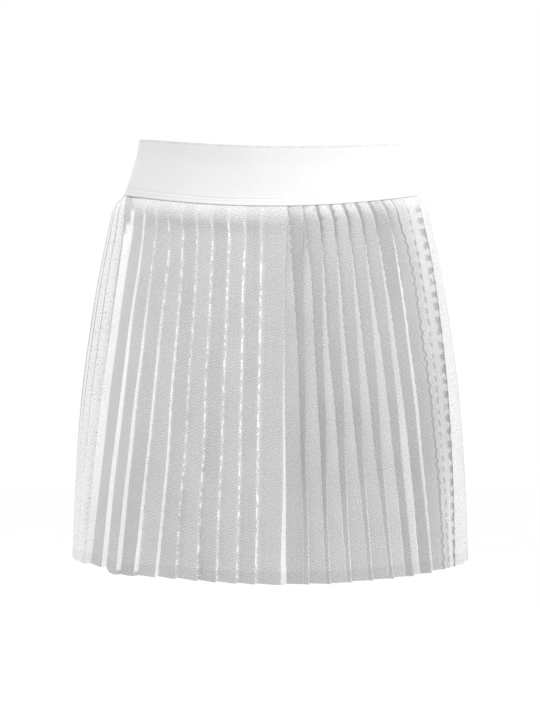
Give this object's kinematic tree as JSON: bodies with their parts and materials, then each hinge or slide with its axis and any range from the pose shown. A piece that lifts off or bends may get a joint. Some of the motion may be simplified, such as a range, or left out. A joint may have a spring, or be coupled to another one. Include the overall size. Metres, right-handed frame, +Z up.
{
  "type": "tennis skirt",
  "caption": "Short pleated tennis skirt in its hollow worn form: a smooth contoured waistband over narrow knife pleats that open towards the hem.",
  "frame": {"origin": "centre of the waistband, half way up it at the sides, where the wearer's waist holds the skirt", "axes": "+Z up, -Y towards the front of the garment, +X to the viewer's right when the front is seen"},
  "size_m": [0.3702, 0.2931, 0.387],
  "materials": {
    "waistband": "smooth white stretch jersey, matt with a faint sheen",
    "pleated_cloth": "fine white sports knit with a small dot texture, pressed into sharp pleats"
  },
  "bodies": {
    "root": {"waistband_front": "waistband", "waistband_back": "waistband", "skirt_front": "pleated_cloth", "skirt_back": "pleated_cloth"}
  },
  "joints": []
}
